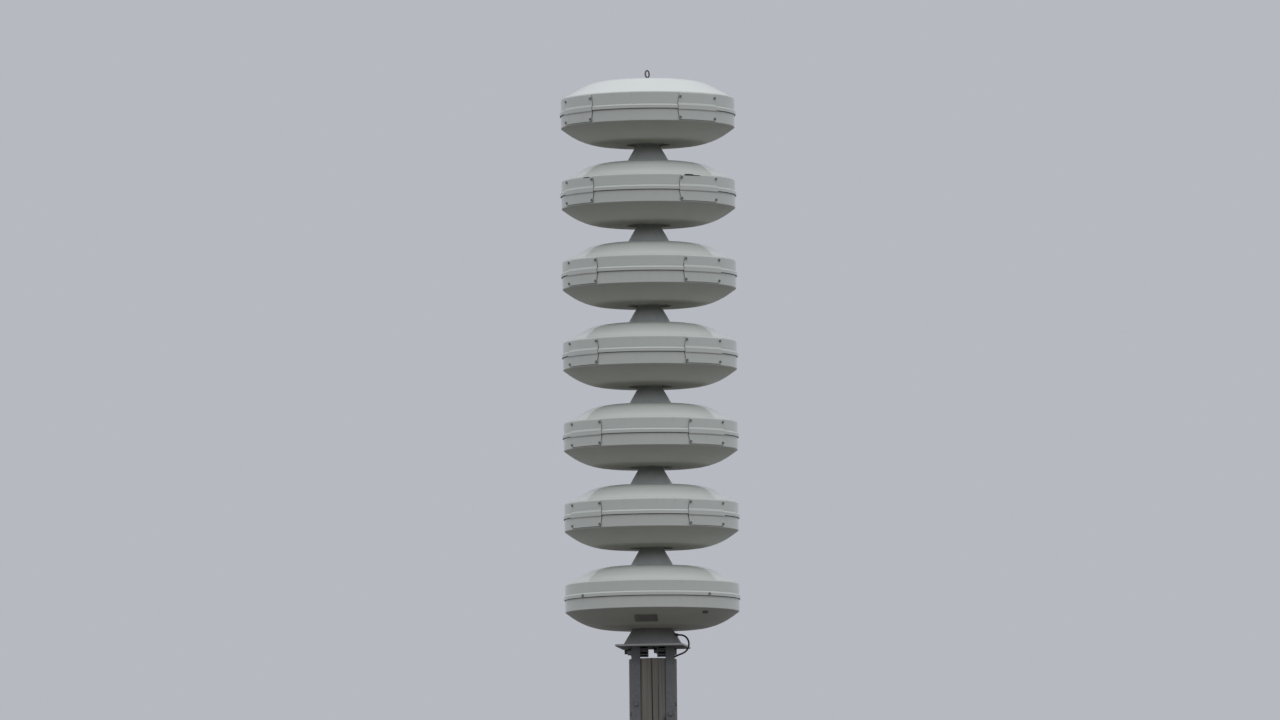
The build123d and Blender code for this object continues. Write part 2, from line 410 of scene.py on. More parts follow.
# Materials
class Nodes:
    """A node tree, with short calls for what the finishes, the floor and the sky share."""

    def __init__(self, tree):
        self.tree = tree

    def node(self, kind, **settings):
        made = self.tree.nodes.new(kind)
        for name, value in settings.items():
            setattr(made, name, value)
        return made

    def put(self, socket, value):
        if isinstance(value, bpy.types.NodeSocket):
            self.tree.links.new(value, socket)
        else:
            socket.default_value = value

    def fill(self, made, values):
        """A node's first output, after its first inputs are filled in their order."""
        for socket, value in zip(made.inputs, values):
            self.put(socket, value)
        return made.outputs[0]

    def math(self, operation, *values):
        return self.fill(self.node("ShaderNodeMath", operation=operation), values)

    def vector(self, operation, *values):
        return self.fill(self.node("ShaderNodeVectorMath", operation=operation), values)

    def ramp(self, value, start, end, low=0.0, high=1.0, curve="SMOOTHSTEP"):
        made = self.node("ShaderNodeMapRange", interpolation_type=curve)
        return self.fill(made, (value, start, end, low, high))

    def band(self, value, rise, fall, high=1.0):
        """A value inside a band that fades in and out over the given spans."""
        return self.math("MULTIPLY", self.ramp(value, *rise, 0, high), self.ramp(value, *fall))

    def axes(self, vector):
        made = self.node("ShaderNodeSeparateXYZ")
        self.put(made.inputs[0], vector)
        return made.outputs

    def mix(self, factor, a, b):
        made = self.node("ShaderNodeMix", data_type="RGBA")
        self.put(made.inputs[0], factor)
        for socket, value in ((made.inputs[6], a), (made.inputs[7], b)):
            if not isinstance(value, bpy.types.NodeSocket):
                value = (*value, 1)
            self.put(socket, value)
        return made.outputs[2]

    def plain_rays(self):
        """1 for rays that see the plain background, and 0 for rays that light the tower."""
        rays = self.node("ShaderNodeLightPath").outputs
        seen = self.math("MAXIMUM", rays["Is Camera Ray"], rays["Is Transmission Ray"])
        return self.math("MAXIMUM", seen, rays["Is Glossy Ray"])


class Finish(Nodes):
    """One material, with a pattern that is shifted from piece to piece."""

    def __init__(self, name, metallic=0.0):
        self.material = bpy.data.materials.new(name)
        self.material.use_nodes = True
        super().__init__(self.material.node_tree)
        self.surface = self.tree.nodes["Principled BSDF"]
        self.surface.inputs["Metallic"].default_value = metallic
        self.place = self.node("ShaderNodeTexCoord").outputs["Object"]
        self.random = self.node("ShaderNodeObjectInfo").outputs["Random"]
        shift = self.node("ShaderNodeVectorMath", operation="SCALE")
        self.put(shift.inputs[0], (31, 17, 5))
        self.put(shift.inputs["Scale"], self.random)
        self.shifted = self.vector("ADD", self.place, shift.outputs[0])

    def noise(self, vector, scale, detail=4, roughness=0.55):
        made = self.node("ShaderNodeTexNoise")
        values = (("Vector", vector), ("Scale", scale), ("Detail", detail), ("Roughness", roughness))
        for name, value in values:
            self.put(made.inputs[name], value)
        return made.outputs[0]

    def grain(self, vector, stretch, detail, roughness=0.55):
        """Noise drawn out along the axes that are stretched less."""
        return self.noise(self.vector("MULTIPLY", vector, stretch), 1, detail, roughness)

    def cells(self, vector, scale):
        """Distance to the middle of the nearest of many cells."""
        made = self.node("ShaderNodeTexVoronoi")
        self.put(made.inputs["Vector"], vector)
        made.inputs["Scale"].default_value = scale
        return made.outputs["Distance"]

    def bump(self, height, distance, normal=None):
        made = self.node("ShaderNodeBump")
        self.put(made.inputs["Height"], height)
        made.inputs["Distance"].default_value = distance
        made.inputs["Strength"].default_value = 1
        if normal is not None:
            self.put(made.inputs["Normal"], normal)
        return made.outputs["Normal"]

    def finish(self, colour, roughness, normal):
        for name, value in (("Base Color", colour), ("Roughness", roughness), ("Normal", normal)):
            self.put(self.surface.inputs[name], value)
        return self.material


def make_siren_paint():
    """Weathered off-white gloss paint: run-off below the edges and dust on the crowns; painted shade in the
    bowls, the throats and on the ledge, and painted light on the crowns.
    """
    paint = Finish("siren_paint")
    paint.surface.inputs["Specular IOR Level"].default_value = 0.55
    height = paint.axes(paint.place)[2]
    colour = paint.mix(paint.noise(paint.shifted, 2.3, 3), (0.662, 0.682, 0.625), (0.692, 0.708, 0.652))
    colour = paint.mix(paint.math("MULTIPLY", paint.random, 0.35), colour, (0.652, 0.669, 0.610))
    streaks = paint.ramp(paint.grain(paint.shifted, (34, 34, 2.2), 5, 0.6), 0.50, 0.74)
    below_lip = paint.band(height, (-0.075, -0.002), (0.003, -0.001))
    below_rim = paint.band(height, (0.030, 0.078), (0.086, 0.078))
    runs = paint.math("MULTIPLY", streaks, paint.math("ADD", below_lip, below_rim))
    colour = paint.mix(paint.math("MULTIPLY", runs, 0.10), colour, (0.30, 0.30, 0.25))
    # Painted light: the crown above the rim gets a paler colour than the band, for the sky that lights it
    colour = paint.mix(paint.ramp(height, 0.084, 0.092), colour, (0.725, 0.745, 0.686))
    # Painted shade: the ledge is darkened a little to dim its highlight
    ledge_shade = paint.band(height, (0.008, 0.014), (0.033, 0.027), 0.12)
    colour = paint.mix(ledge_shade, colour, (0.42, 0.43, 0.38))
    dust = paint.ramp(paint.noise(paint.shifted, 11, 6, 0.65), 0.40, 0.72)
    on_crown = paint.math("MULTIPLY", dust, paint.ramp(height, 0.085, 0.15))
    colour = paint.mix(paint.math("MULTIPLY", on_crown, 0.03), colour, (0.42, 0.43, 0.36))
    # Painted shade, mottled: the bowls, and their throats most of all, are darkened where little light reaches
    painted_shade = paint.ramp(paint.noise(paint.shifted, 7, 5, 0.6), 0.30, 0.70, 0.75, 1)
    in_bowl = paint.ramp(height, -0.058, -0.066, 0, 0.25)
    in_throat = paint.ramp(height, -0.131, -0.1455, 0, 0.72)
    painted_shade = paint.math("MULTIPLY", painted_shade, paint.math("ADD", in_bowl, in_throat))
    colour = paint.mix(painted_shade, colour, (0.33, 0.32, 0.26))
    gloss = paint.ramp(paint.noise(paint.shifted, 19, 4), 0.3, 0.7, 0.04, 0.09)
    gloss = paint.math("ADD", gloss, paint.ramp(height, -0.058, -0.064, 0, 0.68))
    waves = paint.bump(paint.noise(paint.shifted, 6, 1), 0.0001)
    normal = paint.bump(paint.noise(paint.shifted, 420, 2), 0.00002, waves)
    return paint.finish(colour, gloss, normal)


def make_grey_paint(name, dark, light, stain, painted_shade=0.0):
    """Grey satin paint with faint run-off, and painted shade where a neck rises into its throat under the bowl.
    """
    paint = Finish(name)
    colour = paint.mix(paint.noise(paint.shifted, 5, 4), dark, light)
    if painted_shade:
        # Painted shade: the neck darkens towards its top, under the bowl above
        height = paint.axes(paint.place)[2]
        shade_mask = paint.ramp(height, bowl_bottom - 0.060, bowl_bottom + 0.010, 0, painted_shade)
        colour = paint.mix(shade_mask, colour, (0.20, 0.20, 0.19))
    runs = paint.grain(paint.shifted, (40, 40, 3), 5)
    colour = paint.mix(paint.ramp(runs, 0.5, 0.8, 0, 0.35), colour, stain)
    normal = paint.bump(paint.noise(paint.shifted, 350, 3), 0.0001)
    gloss = paint.ramp(paint.noise(paint.shifted, 24), 0.3, 0.7, 0.38, 0.52)
    return paint.finish(colour, gloss, normal)


def make_steel(name, dark, light, scale, roughness, metallic, rust, specular=0.5, underside_shade=0.0, plate_shadow=0.0):
    """Weathered galvanised or painted steel: patchy zinc and a little rust, with painted shade on faces that
    look down and just below the top plate.
    """
    steel = Finish(name, metallic)
    steel.surface.inputs["Specular IOR Level"].default_value = specular
    spangle = steel.math("ADD", steel.math("MULTIPLY", steel.cells(steel.shifted, scale), 0.35), 0.15)
    cloud = steel.noise(steel.shifted, 9, 6, 0.65)
    patches = steel.math("ADD", spangle, steel.math("MULTIPLY", cloud, 0.6))
    colour = steel.mix(steel.ramp(patches, 0.25, 0.8), dark, light)
    # Painted shade: faces that look down are darkened
    if underside_shade:
        facing = steel.axes(steel.node("ShaderNodeNewGeometry").outputs["Normal"])[2]
        colour = steel.mix(steel.ramp(facing, -0.4, -0.8, 0, underside_shade), colour, (0.050, 0.048, 0.045))
    # Painted shade: the steel darkens just below the top plate, in its shadow
    if plate_shadow:
        height = steel.axes(steel.place)[2]
        shade_mask = steel.ramp(height, plate_bottom - 0.105, plate_bottom - 0.055, 0, plate_shadow)
        colour = steel.mix(shade_mask, colour, (0.055, 0.056, 0.058))
    spots = steel.ramp(steel.noise(steel.shifted, 55, 6, 0.7), 0.60, 0.74)
    colour = steel.mix(steel.math("MULTIPLY", spots, rust), colour, (0.13, 0.06, 0.03))
    gloss = steel.ramp(cloud, 0.3, 0.7, roughness, roughness + 0.16)
    normal = steel.bump(steel.noise(steel.shifted, 240, 4), 0.00015)
    return steel.finish(colour, gloss, normal)


def make_pole_wood():
    """Old treated pole: grey-brown fibres along its length, knots, and dark checks."""
    wood = Finish("pole_wood")
    fibres = wood.grain(wood.place, (60, 60, 1.3), 8, 0.65)
    bands = wood.grain(wood.place, (9, 9, 0.45), 5, 0.6)
    colour = wood.mix(wood.ramp(fibres, 0.30, 0.72), (0.125, 0.106, 0.084), (0.320, 0.290, 0.245))
    colour = wood.mix(wood.ramp(bands, 0.35, 0.70, 0, 0.6), colour, (0.215, 0.208, 0.188))
    from_knot = wood.cells(wood.vector("MULTIPLY", wood.place, (4.3, 4.3, 1.35)), 1)
    colour = wood.mix(wood.ramp(from_knot, 0.12, 0.03), colour, (0.045, 0.035, 0.028))
    splits = wood.ramp(wood.grain(wood.place, (85, 85, 0.9), 3, 0.5), 0.37, 0.31)
    colour = wood.mix(wood.math("MULTIPLY", splits, 0.75), colour, (0.030, 0.025, 0.020))
    normal = wood.bump(fibres, 0.0022)
    normal = wood.bump(splits, -0.003, normal)
    normal = wood.bump(wood.ramp(from_knot, 0.16, 0.02), 0.003, normal)
    gloss = wood.ramp(fibres, 0.3, 0.7, 0.72, 0.92)
    return wood.finish(colour, gloss, normal)


def make_pole_end():
    """The pole's sawn top: growth rings round its heart."""
    wood = Finish("pole_end")
    x, y, _ = wood.axes(wood.place)
    wobble = wood.noise(wood.place, 14, 3)
    radius = wood.math("SQRT", wood.math("ADD", wood.math("MULTIPLY", x, x), wood.math("MULTIPLY", y, y)))
    radius = wood.math("ADD", radius, wood.math("MULTIPLY", wobble, 0.012))
    rings = wood.math("SINE", wood.math("MULTIPLY", radius, 1500))
    colour = wood.mix(wood.ramp(rings, -0.8, 0.9), (0.095, 0.080, 0.062), (0.185, 0.165, 0.135))
    grey = wood.ramp(wood.noise(wood.place, 20, 5), 0.45, 0.75, 0, 0.6)
    colour = wood.mix(grey, colour, (0.08, 0.078, 0.07))
    return wood.finish(colour, 0.85, wood.bump(rings, 0.0008))


def make_plain(name, dark, light, roughness, metallic=0.0):
    """Rubber, plastic, paint or small steel with slight mottling."""
    plain = Finish(name, metallic)
    colour = plain.mix(plain.noise(plain.shifted, 60, 5), dark, light)
    gloss = plain.ramp(plain.noise(plain.shifted, 35, 3), 0.3, 0.7, roughness, roughness + 0.15)
    return plain.finish(colour, gloss, plain.bump(plain.noise(plain.shifted, 500, 3), 0.0001))


siren_paint = make_siren_paint()
# Painted light: the neck's paint is paler than the shell's, standing in for light on a neck that is mostly in
# shade; its top gets painted shade
neck_paint = make_grey_paint(
    "neck_paint", (0.765, 0.795, 0.780), (0.820, 0.845, 0.832), (0.52, 0.54, 0.53), painted_shade=0.5,
)
cone_paint = make_grey_paint("cone_paint", (0.405, 0.409, 0.410), (0.490, 0.494, 0.495), (0.26, 0.265, 0.265))
# The bracket gets painted shade just below the top plate
bracket_steel = make_steel(
    "bracket_paint", (0.131, 0.133, 0.136), (0.189, 0.191, 0.193), 60,
    roughness=0.45, metallic=0.25, rust=0.35, plate_shadow=0.45,
)
# The plate gets painted shade on its underside
plate_steel = make_steel(
    "plate_steel", (0.600, 0.604, 0.604), (0.710, 0.714, 0.714), 70,
    roughness=0.80, metallic=0.0, rust=0.10, specular=0.15, underside_shade=0.7,
)
bolt_steel = make_steel("bolt_steel", (0.11, 0.11, 0.11), (0.19, 0.19, 0.185), 150, 0.45, 0.4, 0.4)
tab_steel = make_steel("tab_steel", (0.04, 0.04, 0.04), (0.08, 0.08, 0.075), 150, 0.45, 0.4, 0.4)
eye_steel = make_steel("eye_steel", (0.070, 0.072, 0.072), (0.120, 0.120, 0.118), 90, 0.45, 0.4, 0.3)
screw_steel = make_plain("screw_steel", (0.165, 0.158, 0.146), (0.235, 0.226, 0.208), 0.45, 0.3)
washer_zinc = make_plain("washer_zinc", (0.50, 0.51, 0.50), (0.62, 0.63, 0.61), 0.35, 0.3)
# Painted shade: near-black for the strips that stand in for shadowed gaps
gap_shade_black = make_plain("gap_shade_black", (0.014, 0.014, 0.014), (0.024, 0.024, 0.023), 0.75)
cable_rubber = make_plain("cable_jacket", (0.026, 0.026, 0.028), (0.044, 0.044, 0.045), 0.42)
gland_nylon = make_plain("gland", (0.110, 0.112, 0.114), (0.150, 0.152, 0.154), 0.40)
blank_paint = make_plain("blank_plate", (0.110, 0.099, 0.080), (0.150, 0.137, 0.112), 0.50)
pole_wood = make_pole_wood()
pole_end = make_pole_end()


# Camera
def make_camera():
    data = bpy.data.cameras.new("Camera")
    data.lens = camera_lens
    data.sensor_width = 36
    data.clip_end = camera_reach
    camera = bpy.data.objects.new("Camera", data)
    bpy.context.scene.collection.objects.link(camera)
    gaze = Vector(camera_aim) - Vector(camera_place)
    turn = gaze.to_track_quat("-Z", "Y").to_matrix().to_4x4()
    camera.matrix_world = Matrix.Translation(camera_place) @ turn @ Matrix.Rotation(camera_roll, 4, "Z")
    bpy.context.scene.camera = camera


make_camera()


# Speaker cable and glands
def make_cable():
    data = bpy.data.curves.new("speaker_cable_flex", "CURVE")
    data.dimensions = "3D"
    data.bevel_depth = cable_diameter / 2
    data.bevel_resolution = 5
    data.use_fill_caps = True
    spline = data.splines.new("NURBS")
    spline.points.add(len(cable_route) - 1)
    for point, corner in zip(spline.points, cable_route):
        point.co = (*corner, 1)
    spline.order_u = 3
    spline.use_endpoint_u = True
    spline.resolution_u = 12
    data.materials.append(cable_rubber)
    cable = bpy.data.objects.new("speaker_cable_flex", data)
    bpy.context.scene.collection.objects.link(cable)
    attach(cable, "root")
    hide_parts("speaker_cable")
    return cable


def gland_shape(length):
    """A cable gland along +Z that ends at the origin: a body, a hexagon on its seat and a domed nut."""
    nut_height = 0.010
    seat_height = 0.007
    body = [(0, 0), (0.0070, 0), (0.0070, length), (0, length)]
    hexagon = [(0, 0, 0), (0.0105, 0, 0.001), (0.0105, 0.006, 0.001), (0, 0.006, 0)]
    nut = [
        (0, 0, 0),
        (0.0085, 0, 0.0005),
        (0.0085, 0.006, 0.0012),
        (0.0062, nut_height, 0.0018),
        (0, nut_height, 0),
    ]
    return joined([
        (lathe(body, 32), moved(0, 0, -length)),
        (lathe(rounded(hexagon, step=30), 6), moved(0, 0, -nut_height - seat_height)),
        (lathe(rounded(nut, step=20), 12), moved(0, 0, -nut_height)),
    ])


def make_gland(name, length, end, following):
    place = along(end, Vector(following) - Vector(end))
    add_piece(f"{name}_fitting", gland_shape(length), gland_nylon, place, [name])


cable = make_cable()
make_gland("cone_gland", 0.0235, cable_route[0], cable_route[1])
make_gland("pole_gland", 0.022, cable_route[-1], cable_route[-2])


# Cells
def end_corners(inset, edge, end, slope, sign):
    """Rim and knuckle corners of a crown (sign 1) or a bowl (sign -1), moved in by the sheet's thickness."""
    lean = math.radians(slope)
    rim = edge + inset * math.tan(lean) - inset / math.cos(lean)
    knuckle = band_radius - inset - (end - inset - rim) / math.tan(lean)
    return (band_radius - inset, sign * rim), (knuckle, sign * (end - inset))


def upper_shell(extra):
    edge = band_top + extra
    end = crown_top + extra
    rim, knuckle = end_corners(0, edge, end, crown_slope, 1)
    inner_rim, inner_knuckle = end_corners(sheet, edge, end, crown_slope, 1)
    outer = [
        (0, knuckle[1], 0),
        (*knuckle, crown_bend),
        (*rim, crown_rim_bend),
        (band_radius, ledge_top, 0.004),
        (lip_radius, lip_top, 0.003),
        (lip_radius, 0, edge_bend),
        (band_radius + seat, 0, 0),
    ]
    inner = [
        (band_radius + seat, ledge_bottom, 0),
        (inner_rim[0], ledge_bottom, 0),
        (*inner_rim, 0),
        (*inner_knuckle, crown_bend - sheet),
        (0, inner_knuckle[1], 0),
    ]
    return lathe(rounded(outer, step=6) + rounded(inner, step=12), cell_segments)


def lower_shell(has_throat):
    rim, knuckle = end_corners(0, -band_bottom, -bowl_bottom, bowl_slope, -1)
    inner_rim, inner_knuckle = end_corners(sheet, -band_bottom, -bowl_bottom, bowl_slope, -1)
    ceiling = bowl_bottom + throat_depth
    outer = [
        (*knuckle, bowl_bend),
        (*rim, bowl_rim_bend),
        (band_radius, ledge_bottom, 0),
    ]
    inner = [
        (band_radius - sheet, ledge_bottom, 0),
        (*inner_rim, 0),
        (*inner_knuckle, bowl_bend - sheet),
    ]
    if has_throat:
        throat = [(0, ceiling, 0), (throat_radius, ceiling, 0.004), (throat_radius, bowl_bottom, 0.004)]
        outer = throat + outer
        inner += [
            (throat_radius + sheet, bowl_bottom + sheet, 0),
            (throat_radius + sheet, ceiling + sheet, 0),
            (0, ceiling + sheet, 0),
        ]
    else:
        outer = [(0, bowl_bottom, 0)] + outer
        inner += [(0, bowl_bottom + sheet, 0)]
    return lathe(rounded(outer, step=6) + rounded(inner, step=12), cell_segments)


def seam_shade_strip():
    """A dark strip in the seam's gap under the lip: painted shade that deepens the seam's shadow."""
    section = [
        (band_radius + seat, -seat, 0),
        (band_radius + seam_shade_proud, -seat, 0),
        (band_radius + seam_shade_proud, -seam_shade_height, 0.001),
        (band_radius + seat, -seam_shade_height, 0),
    ]
    return lathe(rounded(section, closed=True, step=30), cell_segments)


def neck():
    foot = crown_top - cell_pitch
    outline = [
        (0, foot, 0),
        (neck_foot_radius, foot, 0),
        (neck_foot_radius, foot + neck_edge, 0.002),
        (neck_radius, bowl_bottom, 0.05),
        (neck_radius, bowl_bottom + throat_depth, 0),
        (0, bowl_bottom + throat_depth, 0),
    ]
    return lathe(rounded(outline, step=6), 96)


def cover_middles(cell_turn):
    return [cell_turn + cover_first_angle + index * 360 / cover_count for index in range(cover_count)]


def cover_back(inner, top, bottom):
    """The side of a section that lies on the cell, from the top down over the ledge and the lip."""
    return [
        (inner, top, 0),
        (inner, cover_ledge_top, 0.002),
        (inner + lip_proud, ledge_bottom, 0.001),
        (inner + lip_proud, -seat, 0),
        (inner, -seat, 0),
        (inner, bottom, 0),
    ]


def pinched(shape, top, bottom):
    """A cover's shape with its upright edges drawn in above and below the lip."""
    vertices, faces = shape
    columns = cover_segments + 1
    for first in range(0, len(vertices), columns):
        height = vertices[first][2]
        above = max(0, (height - cover_ledge_top) / (top - cover_ledge_top))
        below = max(0, (height - cover_flank_top) / (bottom - cover_flank_top))
        inset = (cover_pinch_top * above + cover_pinch_bottom * below) / band_radius
        for edge, turn in ((first, inset), (first + columns - 1, -inset)):
            vertices[edge] = Matrix.Rotation(turn, 3, "Z") @ Vector(vertices[edge])
    return vertices, faces


def bent_round(section, top, bottom, width, cell_turn):
    """A section turned through a width in degrees at the place of each of a cell's covers."""
    points = rounded(section, closed=True, step=22)
    shapes = []
    for middle in cover_middles(cell_turn):
        shape = lathe(points, cover_segments, middle - width / 2, width)
        shapes.append((pinched(shape, top, bottom), Matrix()))
    return joined(shapes)


def covers(extra, cell_turn):
    inner = band_radius + seat
    outer = inner + cover_sheet
    lip = inner + lip_proud + cover_lip_sheet
    top = band_top + extra - cover_top_margin
    bottom = band_bottom + cover_bottom_margin
    section = cover_back(inner, top, bottom) + [
        (outer, bottom, 0.001),
        *[(outer, bottom * share, 0) for share in cover_shares_below],
        (outer, cover_flank_top, 0.004),
        (lip, cover_lip_bottom, 0.002),
        (lip, cover_ledge_bottom, 0.003),
        (outer, cover_ledge_top, 0.003),
        *[(outer, top * share, 0) for share in cover_shares_above],
        (outer, top, 0.001),
    ]
    return bent_round(section, top, bottom, cover_angle, cell_turn)


def cover_shade_strips(extra, cell_turn):
    """Dark strips under the covers, which show as thin lines round their edges: painted shade for the gaps
    between the covers and the cell.
    """
    inner = band_radius + seat / 2
    outer = band_radius + shade_strip_sheet
    lip = inner + lip_proud + shade_strip_lip_sheet
    top = band_top + extra - cover_top_margin - shade_strip_edge
    bottom = band_bottom + cover_bottom_margin - shade_strip_edge
    section = cover_back(inner, top, bottom) + [
        (outer, bottom, 0),
        (outer, cover_flank_top, 0),
        (outer, -seat - shade_strip_sheet, 0),
        (lip, -seat - shade_strip_sheet, 0),
        (lip, ledge_bottom, 0.001),
        (outer, cover_ledge_top, 0.002),
        (outer, top, 0),
    ]
    width = cover_angle + 2 * math.degrees(shade_strip_edge / band_radius)
    return bent_round(section, top, bottom, width, cell_turn)


def lifted_edge_shade(first_angle, step, rises):
    """A dark strip over a cover's top edge, painted shade for the gap where the edge stands off, from its
    height in millimetres at each step.
    """
    bottom = band_top - cover_top_margin - shade_strip_edge - lifted_shade_lap
    angles = [math.radians(first_angle + step * index) for index in range(len(rises))]
    vertices = []
    for radius in (band_radius - sheet, band_radius + cover_sheet + lifted_shade_proud):
        for share in (0, 1):
            for angle, rise in zip(angles, rises):
                height = bottom + share * (lifted_shade_lap + rise / 1000)
                vertices.append((radius * math.sin(angle), -radius * math.cos(angle), height))
    count = len(rises)
    rows = [0, count, 3 * count, 2 * count]
    faces = [rows, [row + count - 1 for row in rows]]
    for row, other in zip(rows, rows[1:] + rows[:1]):
        for index in range(count - 1):
            faces.append([row + index, row + index + 1, other + index + 1, other + index])
    return vertices, faces


def screw_places(cell_turn):
    """Placements of a cell's screws on its covers."""
    surface = band_radius + seat + cover_sheet
    for middle in cover_middles(cell_turn):
        for side in (-1, 1):
            for height in screw_heights:
                yield outward(middle + side * screw_angle, surface, height)


def washers_and_heads(places, rng):
    """Screws' washers and their heads, each head turned a little differently."""
    washers = []
    heads = []
    for place in places:
        washers.append((disc(screw_washer / 2, screw_washer_height), place))
        head_place = place @ moved(0, 0, screw_washer_height) @ Matrix.Rotation(rng.random(), 4, "Z")
        heads.append((hex_head(screw_head, screw_head_height), head_place))
    return joined(washers), joined(heads)


def make_cell(name, seam, cell_turn, extra, is_driver, rng):
    place = moved(0, 0, seam)
    crown = upper_shell(extra)
    bowl = lower_shell(is_driver)
    add_piece(f"{name}_crown", crown, siren_paint, place, [f"{name}_upper_shell"])
    add_piece(f"{name}_bowl", bowl, siren_paint, place, [f"{name}_lower_shell"])
    # Painted shade: a dark strip deepens the shadow in the seam's gap
    add_piece(f"{name}_seam", seam_shade_strip(), gap_shade_black, place)
    if is_driver:
        add_piece(
            f"{name}_covers", covers(extra, cell_turn), siren_paint, place,
            [f"{name}_access_covers"],
        )
        # Painted shade: dark strips under the covers show as shadowed gaps at their edges
        add_piece(f"{name}_gaskets", cover_shade_strips(extra, cell_turn), gap_shade_black, place)
        add_piece(f"{name}_cone", neck(), neck_paint, place, [f"{name}_neck"])
        places = screw_places(cell_turn)
    else:
        places = [outward(angle, lip_radius, lip_screw_height) for angle in lip_screw_angles]
    washers, heads = washers_and_heads(places, rng)
    add_piece(f"{name}_washers", washers, washer_zinc, place)
    add_piece(f"{name}_screws", heads, screw_steel, place)


rng = random.Random(7)
# Painted shade: dark strips over two covers of the second cell stand in for the gaps under their lifted top
# edges
gaps = joined([(lifted_edge_shade(*gap), Matrix()) for gap in loose_gaskets])
add_piece("loose_gaskets", gaps, gap_shade_black, moved(0, 0, seam_heights[1]))
make_cell("base_cell", base_seam, 0, 0, False, rng)
for number, (seam, turn) in enumerate(zip(seam_heights, cell_turns), 1):
    make_cell(f"cell_{number}", seam, turn, top_cell_extra if number == 1 else 0, True, rng)


# Bracket
def make_legs():
    inner = leg_heel - leg_thickness
    toe = leg_heel - leg_width
    section = rounded([
        (leg_heel, leg_heel, 0.0008),
        (leg_heel, toe, 0.0008),
        (inner, toe, 0.004),
        (inner, inner, 0.006),
        (toe, inner, 0.004),
        (toe, leg_heel, 0.0008),
    ], closed=True, step=20)
    leg = prism(section, pole_top - pole_dressed, plate_bottom)
    for quadrant, name in enumerate(("rear_right", "rear_left", "front_left", "front_right")):
        shape = joined([(leg, turned(90 * quadrant))])
        add_piece(
            f"angle_{name}", shape, bracket_steel, Matrix(), [f"leg_{name}"], bevel=0.0005,
        )


def make_channels():
    half = leg_heel - leg_thickness - seat
    web_top = channel_bottom + channel_sheet
    section = rounded([
        (channel_inner, channel_bottom, 0.003),
        (channel_outer, channel_bottom, 0.003),
        (channel_outer, plate_bottom, 0.001),
        (channel_outer - channel_sheet, plate_bottom, 0.002),
        (channel_outer - channel_sheet, web_top, 0.005),
        (channel_inner + channel_sheet, web_top, 0.005),
        (channel_inner + channel_sheet, plate_bottom, 0.002),
        (channel_inner, plate_bottom, 0.001),
    ], closed=True, step=20)
    channel = prism(section, -half, half)
    for side, turn in (("right", 0), ("left", 180)):
        shape = joined([(channel, turned(turn) @ turned(90, "X"))])
        add_piece(
            f"crossbar_{side}", shape, bracket_steel, Matrix(), [f"channel_{side}"],
            bevel=0.0004,
        )


def make_plate():
    plate = prism(rectangle(plate_side, plate_side, 0.003, 30), plate_bottom, plate_top)
    shape = joined([(plate, turned(plate_turn))])
    add_piece("top_plate", shape, plate_steel, Matrix(), ["mounting_plate"], bevel=0.0012)


def make_cone():
    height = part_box("base_cone")[1][2] - plate_top
    section = [
        (cone_foot_radius, 0, 0.001),
        (cone_top_radius, height, 0),
        (cone_top_radius - cone_wall, height, 0),
        (cone_foot_radius - cone_wall, 0, 0),
    ]
    shape = lathe(rounded(section, closed=True), 96)
    add_piece("foot_cone", shape, cone_paint, moved(0, 0, plate_top), ["base_cone"])


def bolt_end(length, nut):
    """A washer, a nut and the thread that stands out of it, on the origin."""
    return [
        (disc(nut[0] * 0.72, bolt_washer[1]), Matrix()),
        (hex_head(*nut), moved(0, 0, bolt_washer[1])),
        (threaded_rod(bolt_radius, length), Matrix()),
    ]


def through_bolts():
    """Bolts that join the channels to the legs: heads to the right, and threads to the left."""
    height = (channel_bottom + plate_bottom) / 2
    length = leg_heel - channel_inner - channel_sheet
    shank = [(disc(bolt_radius, length, 20), moved(0, 0, -length))]
    head = [(disc(*bolt_washer), Matrix()), (hex_head(*bolt_head), moved(0, 0, bolt_washer[1]))]
    shapes = []
    for depth in (-bolt_depth, bolt_depth):
        right = moved(leg_heel, depth, height) @ turned(90, "Y")
        left = moved(-leg_heel, depth, height) @ turned(-90, "Y")
        shapes += placed(head, right)
        shapes += placed(bolt_end(outer_thread, outer_nut), left)
        shapes += placed(shank, left)
        shapes += placed(shank, right)
    inside = moved(channel_inner, -bolt_depth, height) @ turned(-90, "Y")
    return shapes + placed(bolt_end(inner_thread, inner_nut), inside)


def face_place(quadrant, drop, second):
    """A placement on the outer face of one of a leg's two flanges, pointing away from the pole."""
    middle = leg_heel - leg_width / 2
    if second:
        place = moved(leg_heel, middle, pole_top - drop) @ turned(90, "Y")
    else:
        place = moved(middle, leg_heel, pole_top - drop) @ turned(-90, "X")
    return turned(90 * quadrant) @ place


def lag_screws():
    """Lag screws that hold the legs to the pole, by turns in one flange and the other."""
    screw = [
        (disc(*lag_washer), Matrix()),
        (hex_head(*lag_head), moved(0, 0, lag_washer[1])),
        (disc(*lag_shank, 16), moved(0, 0, -lag_shank[1])),
    ]
    shapes = []
    for quadrant in range(4):
        for drop in lag_drops:
            for second in (0, 1):
                shapes += placed(screw, face_place(quadrant, drop + lag_stagger * second, second))
    return shapes


def make_bolts():
    add_piece("through_bolts", joined(through_bolts()), bolt_steel)
    add_piece("lag_screws", joined(lag_screws()), bolt_steel)


make_legs()
make_channels()
make_plate()
make_cone()
make_bolts()


# Pole
def pole_radius_at(height):
    share = max(0, 1 - height / (pole_top - pole_dressed))
    return pole_top_radius + (pole_foot_radius - pole_top_radius) * share


